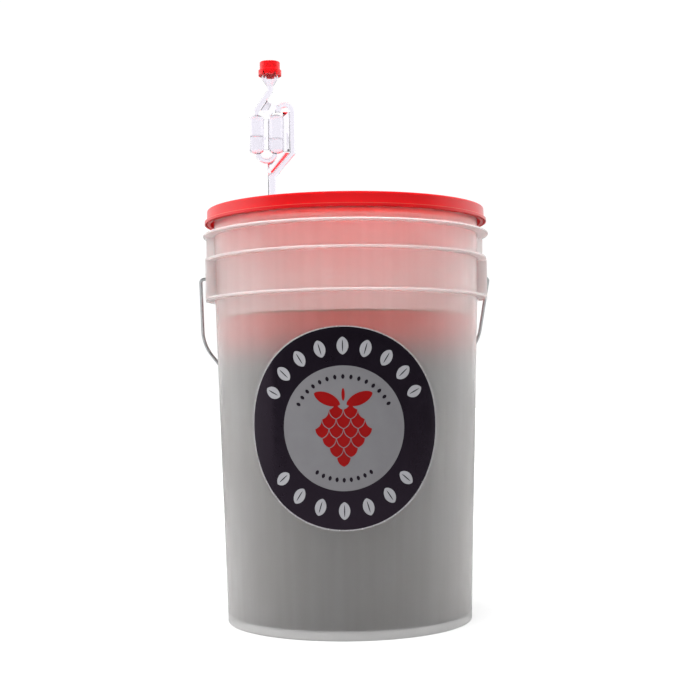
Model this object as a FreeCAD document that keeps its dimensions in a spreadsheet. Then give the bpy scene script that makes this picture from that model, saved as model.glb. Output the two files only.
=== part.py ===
"""Plastic fermenting bucket: a lidded pail with a wire bail, a bored lid with a rubber grommet, and a
twin-bubble airlock that stands in the grommet under a loose cap.

Frame: millimetres, +Z up, origin on the pail's axis at the level it stands on.  The bail's two ears lie
on the X axis, and at rest the bail hangs down behind the pail, towards +Y.  The label faces -Y.
"""

import FreeCAD, Part
import math
import os
import re
import Sketcher
from FreeCAD import Placement, Rotation, Vector

SIZES = {
    # Pail wall and floor
    "base_radius": 136.2,
    "shoulder_radius": 147.6,
    "neck_radius": 148.6,
    "wall": 2.3,
    "foot_height": 8.0,
    "floor_thickness": 2.8,
    "foot_rounding": 0.8,
    "floor_ribs": 8,
    "floor_rib_depth": 4.5,
    "floor_rib_thickness": 2.0,
    "hub_radius": 22.0,
    # Stiffening flanges round the neck, each given by the height of its middle
    "low_flange_height": 357.5,
    "mid_flange_height": 401.0,
    "high_flange_height": 428.5,
    "flange_radius": 158.0,
    "high_flange_radius": 160.5,
    "flange_thickness": 2.8,
    "flange_rounding": 1.0,
    # Rim that the lid closes on
    "rim_height": 452.8,
    "rim_radius": 151.9,
    "rim_depth": 5.5,
    "rim_rounding": 1.2,
    # Ears that carry the bail
    "ear_face": 158.0,
    "ear_half_width": 20.0,
    "ear_root": 145.8,
    "ear_hollow_floor": 148.3,
    "ear_rounding": 2.5,
    "bush_radius": 5.0,
    "bush_length": 1.6,
    "gusset_radius": 157.0,
    "gusset_thickness": 2.2,
    # Bail
    "pivot_height": 381.0,
    "wire_radius": 1.9,
    "pivot_clearance": 0.06,
    "bail_half_width": 163.5,
    "pin_end": 150.2,
    "head_radius": 3.3,
    "head_thickness": 1.8,
    "pin_bend": 4.0,
    "leg_length": 68.0,
    "leg_lean": 0.8,
    "shoulder_bend": 70.0,
    "run_lean": 31.5,
    "grip_bend": 30.0,
    "grip_seat": 50.0,
    "bail_droop": 51.4,
    # Grip
    "grip_length": 94.0,
    "grip_radius": 11.0,
    "grip_chamfer": 1.0,
    "grip_groove": 0.8,
    "grip_grooves": 9,
    "grip_groove_pitch": 8.0,
    "grip_groove_width": 3.0,
    "grip_clearance": 0.08,
    # Lid
    "lid_height": 457.0,
    "lid_thickness": 2.0,
    "lid_top_radius": 155.9,
    "skirt_radius": 156.2,
    "skirt_inside": 153.9,
    "bead_inside": 152.4,
    "lip_radius": 158.7,
    "lip_bottom": 441.8,
    "lip_depth": 3.4,
    "lip_wall": 1.3,
    "plug_radius": 145.6,
    "plug_wall": 2.3,
    "plug_bottom": 437.0,
    "panel_height": 441.0,
    "panel_thickness": 2.0,
    "centre_step_radius": 60.0,
    "centre_step": 1.6,
    "ridge_radius": 120.0,
    "ridge_width": 8.0,
    "lid_rounding": 1.1,
    # Gasket in the lid's channel
    "gasket_inside": 147.4,
    "gasket_outside": 151.4,
    "gasket_thickness": 1.95,
    "gasket_rounding": 0.6,
    # Grommet and its hole
    "hole_radius": 8.0,
    "groove_radius": 7.94,
    "groove_slack": 0.06,
    "grommet_top_radius": 12.5,
    "grommet_bottom_radius": 11.5,
    "grommet_top": 3.6,
    "grommet_bottom": 3.4,
    "grommet_bore": 4.95,
    "grommet_rounding": 0.8,
    # Airlock, in its own upright plane: distances are from the stem's axis
    "airlock_x": -83.5,
    "airlock_y": -32.0,
    "airlock_turn": -5.5,
    "airlock_wall": 1.1,
    "stem_bottom": 424.0,
    "stem_top": 490.7,
    "stem_radius": 4.9,
    "tube_radius": 3.3,
    "riser_offset": 22.7,
    "riser_bottom": 517.1,
    "arch_height": 562.9,
    "arch_radius": 7.95,
    "chamber_radius": 8.5,
    "chamber_dome": 4.7,
    "chamber_bottom": 521.3,
    "chamber_top": 555.4,
    "inner_chamber_offset": 4.85,
    "outer_chamber_offset": -16.85,
    "trap_height": 518.6,
    "trap_offset": -6.0,
    "trap_radius": 9.6,
    "outlet_bottom": 564.5,
    "outlet_top": 586.5,
    "outlet_offset": -1.5,
    "funnel_bottom": 591.0,
    "funnel_shoulder": 600.0,
    "funnel_top": 616.9,
    "funnel_radius": 9.15,
    "web_thickness": 1.8,
    # Cap
    "cap_bottom": 603.4,
    "cap_step": 610.2,
    "cap_shoulder": 618.4,
    "cap_top": 619.8,
    "cap_radius": 11.2,
    "cap_skirt_radius": 12.7,
    "cap_bore": 10.0,
    "cap_ceiling": 617.4,
    "cap_rounding": 0.6,
    "cap_notches": 6,
    "cap_notch_height": 3.6,
    "cap_notch_width": 3.4,
    # Label
    "label_radius": 104.4,
    "label_height": 216.6,
    "label_turn": -7.3,
    "label_gap": 0.05,
    "label_thickness": 0.25,
}

doc = FreeCAD.newDocument("FermentingBucket")
sheet = doc.addObject("Spreadsheet::Sheet", "Sizes")
for row, (alias, value) in enumerate(SIZES.items(), start=1):
    sheet.set(f"A{row}", alias)
    sheet.set(f"B{row}", str(value))
    sheet.setAlias(f"B{row}", alias)
doc.recompute()


def linked(expression):
    """The expression with every alias pointing at the sheet."""
    return re.sub(r"[a-z]+(_[a-z]+)*", lambda m: "Sizes." + m[0] if m[0] in SIZES else m[0], expression)


def number(expression):
    return float(sheet.evalExpression(expression))


def bind(thing, **expressions):
    for name, expression in expressions.items():
        thing.setExpression(name.replace("__", "."), linked(expression))


# ---- Sketches ---------------------------------------------------------------------------------------

def origin_feature(body, role):
    return next(feature for feature in body.Origin.OriginFeatures if feature.Role == role)


def sketch_in(body, role, name, offset=None):
    """A sketch on one of the body's own origin planes, or parallel to it at the given distance."""
    sketch = body.newObject("Sketcher::SketchObject", name)
    sketch.AttachmentSupport = [(origin_feature(body, role), "")]
    sketch.MapMode = "FlatFace"
    if offset:
        bind(sketch, AttachmentOffset__Base__z=offset)
    return sketch


def pin_point(sketch, geometry, end, across, up):
    """Hold one end of a line at a place given by two expressions."""
    for kind, expression in (("DistanceX", across), ("DistanceY", up)):
        constraint = Sketcher.Constraint(kind, -1, 1, geometry, end, number(expression))
        index = sketch.addConstraint(constraint)
        sketch.setExpression(f"Constraints[{index}]", linked(expression))


def draw_outline(sketch, corners):
    """A closed outline of straight sides, with each corner held by two expressions."""
    places = [Vector(number(across), number(up), 0) for across, up in corners]
    sides = len(corners)
    for side in range(sides):
        sketch.addGeometry(Part.LineSegment(places[side], places[(side + 1) % sides]))
    for side in range(sides):
        sketch.addConstraint(Sketcher.Constraint("Coincident", side, 2, (side + 1) % sides, 1))
    for side, (across, up) in enumerate(corners):
        pin_point(sketch, side, 1, across, up)


def box_corners(left, right, bottom, top):
    return [(left, bottom), (right, bottom), (right, top), (left, top)]


def draw_box(sketch, left, right, bottom, top):
    draw_outline(sketch, box_corners(left, right, bottom, top))


def draw_circle(sketch, across, up, radius):
    centre = Vector(number(across), number(up), 0)
    circle = sketch.addGeometry(Part.Circle(centre, Vector(0, 0, 1), number(radius)))
    pin_point(sketch, circle, 3, across, up)
    index = sketch.addConstraint(Sketcher.Constraint("Radius", circle, number(radius)))
    sketch.setExpression(f"Constraints[{index}]", linked(radius))


# ---- Features ---------------------------------------------------------------------------------------

def new_body(label, **placement):
    body = doc.addObject("PartDesign::Body", label)
    body.Label = label
    if placement:
        bind(body, **{f"Placement__Base__{axis}": value for axis, value in placement.items()})
    return body


def revolve(body, corners, name, axis="V_Axis"):
    sketch = sketch_in(body, "XZ_Plane", f"{name}_outline")
    draw_outline(sketch, corners)
    feature = body.newObject("PartDesign::Revolution", name)
    feature.Profile = sketch
    feature.ReferenceAxis = (sketch, [axis])
    feature.Angle = 360
    doc.recompute()
    return feature


def pad(body, sketch, name, length, both_ways=False, backwards=False):
    feature = body.newObject("PartDesign::Pad", name)
    feature.Profile = sketch
    feature.Midplane = both_ways
    feature.Reversed = backwards
    bind(feature, Length=length)
    doc.recompute()
    return feature


def pocket(body, sketch, name, length, backwards=False):
    """A pocket that is known to have removed material."""
    before = body.Shape.Volume
    feature = body.newObject("PartDesign::Pocket", name)
    feature.Profile = sketch
    feature.Reversed = backwards
    bind(feature, Length=length)
    doc.recompute()
    if body.Shape.Volume >= before - 1e-3:
        raise RuntimeError(f"{name} removes nothing")
    return feature


def mirror(body, features, name):
    feature = body.newObject("PartDesign::Mirrored", name)
    feature.Originals = features
    feature.MirrorPlane = (origin_feature(body, "YZ_Plane"), [""])
    body.Tip = feature
    doc.recompute()
    return feature


def round_pattern(body, original, name, count):
    feature = body.newObject("PartDesign::PolarPattern", name)
    feature.Originals = [original]
    feature.Axis = (origin_feature(body, "Z_Axis"), [""])
    feature.Angle = 360
    bind(feature, Occurrences=count)
    body.Tip = feature
    doc.recompute()
    return feature


def circles_at(shape, places):
    """Names of the shape's circular edges about the Z axis at the given (radius, height) pairs."""
    wanted = [(number(radius), number(height)) for radius, height in places]
    names = []
    for index, edge in enumerate(shape.Edges, start=1):
        if not isinstance(edge.Curve, Part.Circle):
            continue
        if math.hypot(edge.Curve.Center.x, edge.Curve.Center.y) > 1e-3:
            continue
        found = (edge.Curve.Radius, edge.Curve.Center.z)
        if any(math.dist(found, place) < 1e-3 for place in wanted):
            names.append(f"Edge{index}")
    if len(names) < len(wanted):
        raise RuntimeError("an edge to be rounded is missing")
    return names


def round_edges(body, base, places, name, radius):
    feature = body.newObject("PartDesign::Fillet", name)
    feature.Base = (base, circles_at(base.Shape, places))
    bind(feature, Radius=radius)
    doc.recompute()
    return feature


# ---- Pail -------------------------------------------------------------------------------------------

WALL_SLOPE = "(shoulder_radius - base_radius) / low_flange_height"
NECK_SLOPE = "(neck_radius - shoulder_radius) / (rim_height - low_flange_height)"


def wall_radius(height):
    """Outer radius of the tapered wall below the lowest flange."""
    return f"base_radius + {WALL_SLOPE} * ({height})"


def neck_wall_radius(height):
    """Outer radius of the nearly straight wall above it."""
    return f"shoulder_radius + {NECK_SLOPE} * ({height} - low_flange_height)"


def flange_outline(height, radius):
    """The three sides of a flange that stands out of the neck, from below upwards."""
    under = f"{height} - flange_thickness / 2"
    over = f"{height} + flange_thickness / 2"
    return [(neck_wall_radius(under), under), (radius, under), (radius, over), (neck_wall_radius(over), over)]


def flange_rims():
    heights = {
        "low_flange_height": "flange_radius",
        "mid_flange_height": "flange_radius",
        "high_flange_height": "high_flange_radius",
    }
    return [
        (radius, f"{height} {side} flange_thickness / 2")
        for height, radius in heights.items()
        for side in "+-"
    ]


def make_pail():
    body = new_body("bucket_body")
    floor_top = "foot_height + floor_thickness"
    rim_under = "rim_height - rim_depth"
    outline = [
        ("0", "foot_height"),
        (f"{wall_radius('foot_height')} - wall", "foot_height"),
        ("base_radius - wall", "0"),
        ("base_radius", "0"),
        *flange_outline("low_flange_height", "flange_radius"),
        *flange_outline("mid_flange_height", "flange_radius"),
        *flange_outline("high_flange_height", "high_flange_radius"),
        (neck_wall_radius(rim_under), rim_under),
        ("rim_radius", f"{rim_under} + rim_radius - neck_radius"),
        ("rim_radius", "rim_height"),
        ("neck_radius - wall", "rim_height"),
        ("shoulder_radius - wall", "low_flange_height"),
        (f"{wall_radius(floor_top)} - wall", floor_top),
        ("0", floor_top),
    ]
    shell = revolve(body, outline, "shell")
    rims = round_edges(body, shell, flange_rims(), "flange_edges", "flange_rounding")
    rim_edges = [("rim_radius", "rim_height")]
    rim = round_edges(body, rims, rim_edges, "rim_edge", "rim_rounding")
    round_edges(body, rim, [("base_radius", "0")], "foot_edge", "foot_rounding")

    rib = sketch_in(body, "XZ_Plane", "floor_rib_outline")
    draw_box(rib, "hub_radius", "base_radius - wall / 2", "foot_height - floor_rib_depth", "foot_height + 1")
    first_rib = pad(body, rib, "floor_rib", "floor_rib_thickness", both_ways=True)
    round_pattern(body, first_rib, "floor_rib_round", "floor_ribs")

    ear_bottom = "low_flange_height - flange_thickness / 2"
    ear_height = "mid_flange_height - low_flange_height + flange_thickness"
    block = sketch_in(body, "XY_Plane", "ear_outline", ear_bottom)
    draw_box(block, "ear_root", "ear_face", "-ear_half_width", "ear_half_width")
    ear = pad(body, block, "ear", ear_height)
    hollow = sketch_in(body, "XY_Plane", "ear_hollow_outline", ear_bottom)
    draw_box(hollow, "ear_hollow_floor", "ear_face - wall", "wall - ear_half_width", "ear_half_width - wall")
    ear_hollow = pocket(body, hollow, "ear_hollow", f"{ear_height} - flange_thickness", backwards=True)
    ring = sketch_in(body, "YZ_Plane", "ear_bush_outline", "ear_face - wall - bush_length")
    draw_circle(ring, "0", "pivot_height", "bush_radius")
    bush = pad(body, ring, "ear_bush", "bush_length + wall / 2")
    bore = sketch_in(body, "YZ_Plane", "ear_bore_outline", "ear_face + 1")
    draw_circle(bore, "0", "pivot_height", "wire_radius + pivot_clearance")
    ear_bore = pocket(body, bore, "ear_bore", "wall + bush_length + 2")
    plate = sketch_in(body, "XZ_Plane", "gusset_outline")
    draw_box(plate, "shoulder_radius - wall / 2", "gusset_radius", "mid_flange_height", "high_flange_height")
    gusset = pad(body, plate, "gusset", "gusset_thickness", both_ways=True)
    mirror(body, [ear, ear_hollow, bush, ear_bore, gusset], "other_ear")
    return body


# ---- Bail and grip ----------------------------------------------------------------------------------

def tilt_as_bail(body):
    """Lay a body's own XY plane in the bail's plane: its X is the pivot's axis, its Y runs down the bail."""
    body.Placement = Placement(Vector(0, 0, 0), Rotation(Vector(-1, 0, 0), 45))
    bind(body, Placement__Base__z="pivot_height", Placement__Rotation__Angle="bail_droop")


def bail_path():
    """Lines and arcs of half the bail, in order from the pin to the middle of the grip.

    Angles are the wire's heading, in degrees anticlockwise from X.
    """
    leg_heading = 90 + number("leg_lean")
    run_heading = 90 + number("run_lean")
    pin_bend = number("pin_bend")

    def along(start, heading, length):
        turned = math.radians(heading)
        return start + Vector(math.cos(turned), math.sin(turned), 0) * length

    def bend(start, heading, to_heading, radius):
        """An arc that turns left, its centre and its end."""
        centre = along(start, heading + 90, radius)
        end = along(centre, to_heading - 90, radius)
        circle = Part.Circle(centre, Vector(0, 0, 1), radius)
        return Part.ArcOfCircle(circle, math.radians(heading - 90), math.radians(to_heading - 90)), end

    lean = math.radians(number("leg_lean"))
    pin_bend_start = Vector(number("bail_half_width") - pin_bend * math.cos(lean), 0, 0)
    pin = Part.LineSegment(Vector(number("pin_end"), 0, 0), pin_bend_start)
    pin_turn, leg_start = bend(pin_bend_start, 0, leg_heading, pin_bend)
    leg_end = along(leg_start, leg_heading, number("leg_length"))
    leg = Part.LineSegment(leg_start, leg_end)
    shoulder, run_start = bend(leg_end, leg_heading, run_heading, number("shoulder_bend"))
    seat = number("grip_seat")
    turn_width = number("grip_bend") * math.sin(math.radians(run_heading))
    run_length = (run_start.x - seat - turn_width) / -math.cos(math.radians(run_heading))
    run_end = along(run_start, run_heading, run_length)
    run = Part.LineSegment(run_start, run_end)
    corner, seat_start = bend(run_end, run_heading, 180, number("grip_bend"))
    grip_seat = Part.LineSegment(seat_start, Vector(0, seat_start.y, 0))
    return [pin, pin_turn, leg, shoulder, run, corner, grip_seat]


def draw_bail_path(sketch):
    pieces = bail_path()
    pin, pin_turn, leg, shoulder, run, corner, seat = range(len(pieces))
    for piece in pieces:
        sketch.addGeometry(piece)
    for before in range(len(pieces) - 1):
        sketch.addConstraint(Sketcher.Constraint("Tangent", before, 2, before + 1, 1))

    def fix(expression, kind, *where):
        index = sketch.addConstraint(Sketcher.Constraint(kind, *where, number(expression)))
        sketch.setExpression(f"Constraints[{index}]", linked(expression))

    def head(line, lean):
        """Fix a line's heading: a quarter turn from X, and its lean beyond that."""
        heading = f"90 + {lean}"
        index = sketch.addConstraint(Sketcher.Constraint("Angle", line, math.radians(number(heading))))
        sketch.setExpression(f"Constraints[{index}]", linked(f"({heading}) * 1 deg"))

    sketch.addConstraint(Sketcher.Constraint("PointOnObject", pin, 1, -1))
    sketch.addConstraint(Sketcher.Constraint("Horizontal", pin))
    sketch.addConstraint(Sketcher.Constraint("Horizontal", seat))
    sketch.addConstraint(Sketcher.Constraint("PointOnObject", seat, 2, -2))
    fix("pin_end", "DistanceX", -1, 1, pin, 1)
    fix("bail_half_width", "DistanceX", -1, 1, leg, 1)
    fix("grip_seat", "DistanceX", -1, 1, seat, 1)
    fix("leg_length", "Distance", leg)
    fix("pin_bend", "Radius", pin_turn)
    fix("shoulder_bend", "Radius", shoulder)
    fix("grip_bend", "Radius", corner)
    head(leg, "leg_lean")
    head(run, "run_lean")


def make_bail():
    body = new_body("bail_wire")
    tilt_as_bail(body)
    path = sketch_in(body, "XY_Plane", "bail_path")
    draw_bail_path(path)
    section = sketch_in(body, "YZ_Plane", "wire_section", "pin_end")
    draw_circle(section, "0", "0", "wire_radius")
    doc.recompute()
    wire = body.newObject("PartDesign::AdditivePipe", "half_wire")
    wire.Profile = section
    wire.Spine = (path, [f"Edge{index + 1}" for index in range(path.GeometryCount)])
    doc.recompute()
    head_outline = sketch_in(body, "YZ_Plane", "head_outline", "pin_end")
    draw_circle(head_outline, "0", "0", "head_radius")
    head = pad(body, head_outline, "head", "head_thickness")
    mirror(body, [wire, head], "other_half")
    return body


# Width and length of the straight run between the bail's two bends, and the bail's reach from its pivot
RUN_WIDTH = (
    "(bail_half_width - leg_length * sin(leg_lean) - shoulder_bend * (cos(leg_lean) - cos(run_lean))"
    " - grip_seat - grip_bend * cos(run_lean))"
)
BAIL_REACH = (
    "(pin_bend * (1 + sin(leg_lean)) + leg_length * cos(leg_lean)"
    " + shoulder_bend * (sin(run_lean) - sin(leg_lean))"
    f" + {RUN_WIDTH} / tan(run_lean) + grip_bend * (1 - sin(run_lean)))"
)


def make_grip():
    """A moulded handle bored for the wire, grooved round for the fingers."""
    body = new_body("bail_grip")
    tilt_as_bail(body)
    bind(
        body,
        Placement__Base__y=f"{BAIL_REACH} * cos(bail_droop)",
        Placement__Base__z=f"pivot_height - {BAIL_REACH} * sin(bail_droop)",
    )
    bore = "wire_radius + grip_clearance"
    half_length = "grip_length / 2"
    outline = [
        (f"-{half_length}", bore),
        (f"-{half_length}", "grip_radius - grip_chamfer"),
        (f"grip_chamfer - {half_length}", "grip_radius"),
    ]
    for groove in range(int(number("grip_grooves"))):
        middle = f"({groove} - (grip_grooves - 1) / 2) * grip_groove_pitch"
        half = "grip_groove_width / 2"
        outline += [
            (f"{middle} - {half}", "grip_radius"),
            (f"{middle} - {half} / 2", "grip_radius - grip_groove"),
            (f"{middle} + {half} / 2", "grip_radius - grip_groove"),
            (f"{middle} + {half}", "grip_radius"),
        ]
    outline += [
        (f"{half_length} - grip_chamfer", "grip_radius"),
        (half_length, "grip_radius - grip_chamfer"),
        (half_length, bore),
    ]
    revolve(body, outline, "grip", axis="H_Axis")
    return body


# ---- Lid, gasket and grommet ------------------------------------------------------------------------

def make_lid():
    body = new_body("lid")
    dish_radius = "plug_radius - plug_wall"
    panel_bottom = "panel_height - panel_thickness"
    lip_top = "lip_bottom + lip_depth"
    ridge_in = "ridge_radius - ridge_width / 2"
    ridge_out = "ridge_radius + ridge_width / 2"
    outline = [
        ("0", "panel_height + centre_step"),
        ("centre_step_radius", "panel_height + centre_step"),
        ("centre_step_radius + centre_step", "panel_height"),
        (ridge_in, "panel_height"),
        (f"{ridge_in} + centre_step", "panel_height + centre_step"),
        (f"{ridge_out} - centre_step", "panel_height + centre_step"),
        (ridge_out, "panel_height"),
        (dish_radius, "panel_height"),
        (f"{dish_radius} - lid_thickness / 4", "lid_height"),
        ("lid_top_radius", "lid_height"),
        ("skirt_radius", lip_top),
        ("lip_radius", f"{lip_top} - lip_wall / 4"),
        ("lip_radius", "lip_bottom"),
        ("lip_radius - lip_wall", "lip_bottom"),
        ("lip_radius - lip_wall", f"{lip_top} - lip_wall"),
        ("skirt_radius - lip_wall / 2", f"{lip_top} - lip_wall"),
        ("skirt_radius - lip_wall / 2", "lip_bottom"),
        ("bead_inside", "lip_bottom"),
        ("bead_inside", "lip_bottom + lip_wall * 2"),
        ("skirt_inside", "lip_bottom + lip_wall * 3"),
        ("skirt_inside", "lid_height - lid_thickness"),
        ("plug_radius", "lid_height - lid_thickness"),
        ("plug_radius", "plug_bottom + lid_thickness / 2"),
        ("plug_radius - lid_thickness / 2", "plug_bottom"),
        (dish_radius, "plug_bottom"),
        (dish_radius, panel_bottom),
        (f"{ridge_out} - lid_thickness / 2", panel_bottom),
        (f"{ridge_out} - centre_step - lid_thickness / 2", f"{panel_bottom} + centre_step"),
        (f"{ridge_in} + centre_step + lid_thickness / 2", f"{panel_bottom} + centre_step"),
        (f"{ridge_in} + lid_thickness / 2", panel_bottom),
        ("centre_step_radius + lid_thickness / 2", panel_bottom),
        ("centre_step_radius + lid_thickness / 2 - centre_step", f"{panel_bottom} + centre_step"),
        ("0", f"{panel_bottom} + centre_step"),
    ]
    shell = revolve(body, outline, "lid_shell")
    edges = [("lid_top_radius", "lid_height"), (f"{dish_radius} - lid_thickness / 4", "lid_height")]
    round_edges(body, shell, edges, "lid_edges", "lid_rounding")
    hole = sketch_in(body, "XY_Plane", "grommet_hole_outline", "panel_height + 1")
    draw_circle(hole, "airlock_x", "airlock_y", "hole_radius")
    pocket(body, hole, "grommet_hole", "panel_thickness + 2")
    return body


def make_gasket():
    body = new_body("lid_gasket")
    top = "lid_height - lid_thickness"
    bottom = f"{top} - gasket_thickness"
    corners = [(radius, height) for radius in ("gasket_inside", "gasket_outside") for height in (bottom, top)]
    inner_low, inner_high, outer_low, outer_high = corners
    ring = revolve(body, [inner_low, outer_low, outer_high, inner_high], "gasket_ring")
    round_edges(body, ring, corners, "gasket_edges", "gasket_rounding")
    return body


def make_grommet():
    body = new_body("grommet", x="airlock_x", y="airlock_y")
    groove_top = "panel_height + groove_slack"
    groove_bottom = "panel_height - panel_thickness - groove_slack"
    outline = [
        ("grommet_bore", f"{groove_bottom} - grommet_bottom"),
        ("grommet_bottom_radius - 2", f"{groove_bottom} - grommet_bottom"),
        ("grommet_bottom_radius", f"{groove_bottom} - grommet_bottom / 2"),
        ("grommet_bottom_radius", groove_bottom),
        ("groove_radius", groove_bottom),
        ("groove_radius", groove_top),
        ("grommet_top_radius", groove_top),
        ("grommet_top_radius", f"{groove_top} + grommet_top"),
        ("grommet_bore", f"{groove_top} + grommet_top"),
    ]
    ring = revolve(body, outline, "grommet_ring")
    edges = [("grommet_top_radius", f"{groove_top} + grommet_top"), ("grommet_top_radius", groove_top)]
    round_edges(body, ring, edges, "grommet_edges", "grommet_rounding")
    return body


# ---- Airlock ----------------------------------------------------------------------------------------

def part_object(kind, name, across="0", up="0", **expressions):
    """A Part primitive at a place in the airlock's own plane, with its sizes bound to the sheet."""
    thing = doc.addObject(f"Part::{kind}", name)
    bind(thing, Placement__Base__x=across, Placement__Base__z=up, **expressions)
    return thing


def straight_tube(name, radius, start, end):
    """A cylinder from one point of the plane to another."""
    across, up = (f"(({last}) - ({first}))" for first, last in zip(start, end))
    length = f"sqrt({across}^2 + {up}^2)"
    tube = doc.addObject("Part::Cylinder", name)
    if number(across):
        tube.Placement = Placement(Vector(0, 0, 0), Rotation(Vector(0, 1, 0), 10))
        bind(tube, Placement__Rotation__Angle=f"atan2({across}; {up})")
    bind(tube, Placement__Base__x=start[0], Placement__Base__z=start[1], Radius=radius, Height=length)
    return tube


def half_ring(name, radius, centre, bend_radius, upwards):
    ring = doc.addObject("Part::Torus", name)
    ring.Placement = Placement(Vector(0, 0, 0), Rotation(Vector(1, 0, 0), 90 if upwards else -90))
    ring.Angle3 = 180
    bind(ring, Placement__Base__x=centre[0], Placement__Base__z=centre[1])
    bind(ring, Radius1=bend_radius, Radius2=radius)
    return ring


def chamber(name, inset, offset):
    """A bubble chamber: a cylinder with a shallow dome on each end."""
    pieces = [part_object(
        "Cylinder", f"{name}_side", offset, "chamber_bottom",
        Radius=f"chamber_radius - {inset}", Height="chamber_top - chamber_bottom",
    )]
    for end in ("bottom", "top"):
        dome = part_object(
            "Ellipsoid", f"{name}_{end}", offset, f"chamber_{end}",
            Radius1=f"chamber_dome - {inset}", Radius2=f"chamber_radius - {inset}",
            Radius3=f"chamber_radius - {inset}",
        )
        dome.Angle1 = -90
        dome.Angle2 = 90
        pieces.append(dome)
    return pieces


def airlock_passages(name, inset, overrun):
    """Every tube and chamber of the airlock, shrunk by inset, with its two mouths longer by overrun."""
    tube = f"tube_radius - {inset}"
    arch_left = "riser_offset - 2 * arch_radius"
    trap_left = "trap_offset - trap_radius"
    trap_right = "trap_offset + trap_radius"
    outlet_knee = ("outer_chamber_offset", "outlet_bottom")
    runs = {
        "slope": (("0", "stem_top"), ("riser_offset", "riser_bottom")),
        "riser": (("riser_offset", "riser_bottom"), ("riser_offset", "arch_height")),
        "drop": ((arch_left, "arch_height"), (arch_left, "chamber_top")),
        "trap_left": ((trap_left, "trap_height"), (trap_left, "chamber_bottom")),
        "trap_right": ((trap_right, "trap_height"), (trap_right, "chamber_bottom")),
        "outlet": (("outer_chamber_offset", "chamber_top"), outlet_knee),
        "outlet_slope": (outlet_knee, ("outlet_offset", "outlet_top")),
        "outlet_neck": (("outlet_offset", "outlet_top"), ("outlet_offset", "funnel_bottom + 1")),
    }
    pieces = [straight_tube(f"{name}_{run}", tube, *ends) for run, ends in runs.items()]
    knees = {
        "stem_knee": ("0", "stem_top", f"stem_radius - {inset}"),
        "riser_knee": ("riser_offset", "riser_bottom", tube),
        "outlet_knee": (*outlet_knee, tube),
        "neck_knee": ("outlet_offset", "outlet_top", tube),
    }
    for knee, (across, up, radius) in knees.items():
        pieces.append(part_object("Sphere", f"{name}_{knee}", across, up, Radius=radius))
    stem = (("0", f"stem_bottom - {overrun}"), ("0", "stem_top"))
    pieces.append(straight_tube(f"{name}_stem", f"stem_radius - {inset}", *stem))
    arch_centre = ("riser_offset - arch_radius", "arch_height")
    pieces.append(half_ring(f"{name}_arch", tube, arch_centre, "arch_radius", True))
    pieces.append(half_ring(f"{name}_trap", tube, ("trap_offset", "trap_height"), "trap_radius", False))
    pieces += chamber(f"{name}_inner_chamber", inset, "inner_chamber_offset")
    pieces += chamber(f"{name}_outer_chamber", inset, "outer_chamber_offset")
    pieces.append(part_object(
        "Cone", f"{name}_funnel", "outlet_offset", "funnel_bottom",
        Radius1=tube, Radius2=f"funnel_radius - {inset}", Height="funnel_shoulder - funnel_bottom",
    ))
    mouth_height = f"funnel_top - funnel_shoulder + {overrun}"
    pieces.append(part_object(
        "Cylinder", f"{name}_mouth", "outlet_offset", "funnel_shoulder",
        Radius=f"funnel_radius - {inset}", Height=mouth_height,
    ))
    return pieces


def web(name, corners):
    """A flat web in the airlock's plane, half its thickness to each side."""
    sketch = doc.addObject("Sketcher::SketchObject", f"{name}_outline")
    sketch.Placement = Placement(Vector(0, 0, 0), Rotation(Vector(1, 0, 0), 90))
    draw_outline(sketch, corners)
    plate = doc.addObject("Part::Extrusion", name)
    plate.Base = sketch
    plate.DirMode = "Normal"
    plate.Solid = True
    plate.Symmetric = True
    bind(plate, LengthFwd="web_thickness")
    return plate


def airlock_webs():
    outlines = {
        "chamber_web": box_corners(
            "outer_chamber_offset + chamber_radius - 1",
            "inner_chamber_offset - chamber_radius + 1",
            "chamber_bottom",
            "chamber_top",
        ),
        "riser_web": box_corners(
            "inner_chamber_offset + chamber_radius - 1",
            "riser_offset - tube_radius + 1",
            "riser_bottom + 2",
            "arch_height",
        ),
        "stem_web": [
            ("-stem_radius", "stem_top - 2"),
            ("0", "stem_top - 2"),
            ("riser_offset - 1", "riser_bottom"),
            ("inner_chamber_offset + chamber_radius - 2", "trap_height"),
            ("inner_chamber_offset", "trap_height - trap_radius"),
            ("-stem_radius", "trap_height - trap_radius"),
        ],
        "outlet_web": [
            ("outlet_offset - 12", "outlet_bottom + 2"),
            ("outlet_offset", "chamber_top + 1.6"),
            ("outlet_offset + 7.2", "outlet_bottom + 4.8"),
            ("outlet_offset - 4.7", "outlet_bottom + 12"),
        ],
    }
    return [web(name, corners) for name, corners in outlines.items()]


def make_airlock():
    """Two clear halves moulded as mirror images and welded together on the airlock's own plane."""
    outside = doc.addObject("Part::MultiFuse", "airlock_outside")
    outside.Shapes = airlock_passages("outside", "0", "0") + airlock_webs()
    inside = doc.addObject("Part::MultiFuse", "airlock_inside")
    inside.Shapes = airlock_passages("inside", "airlock_wall", "1")
    hollow = doc.addObject("Part::Cut", "airlock_hollow")
    hollow.Base = outside
    hollow.Tool = inside
    halves = []
    for label, side in (("airlock_front_half", "-chamber_radius * 3"), ("airlock_back_half", "0")):
        keep = part_object(
            "Box", f"{label}_keep", "-riser_offset * 2", "stem_bottom - 1",
            Length="riser_offset * 4", Width="chamber_radius * 3", Height="funnel_top - stem_bottom + 2",
        )
        bind(keep, Placement__Base__y=side)
        half = doc.addObject("Part::Common", label)
        half.Label = label
        half.Base = hollow
        half.Tool = keep
        half.Placement = Placement(Vector(0, 0, 0), Rotation(Vector(0, 0, -1), 5))
        bind(half, Placement__Base__x="airlock_x", Placement__Base__y="airlock_y")
        bind(half, Placement__Rotation__Angle="-airlock_turn")
        halves.append(half)
    return halves


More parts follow.
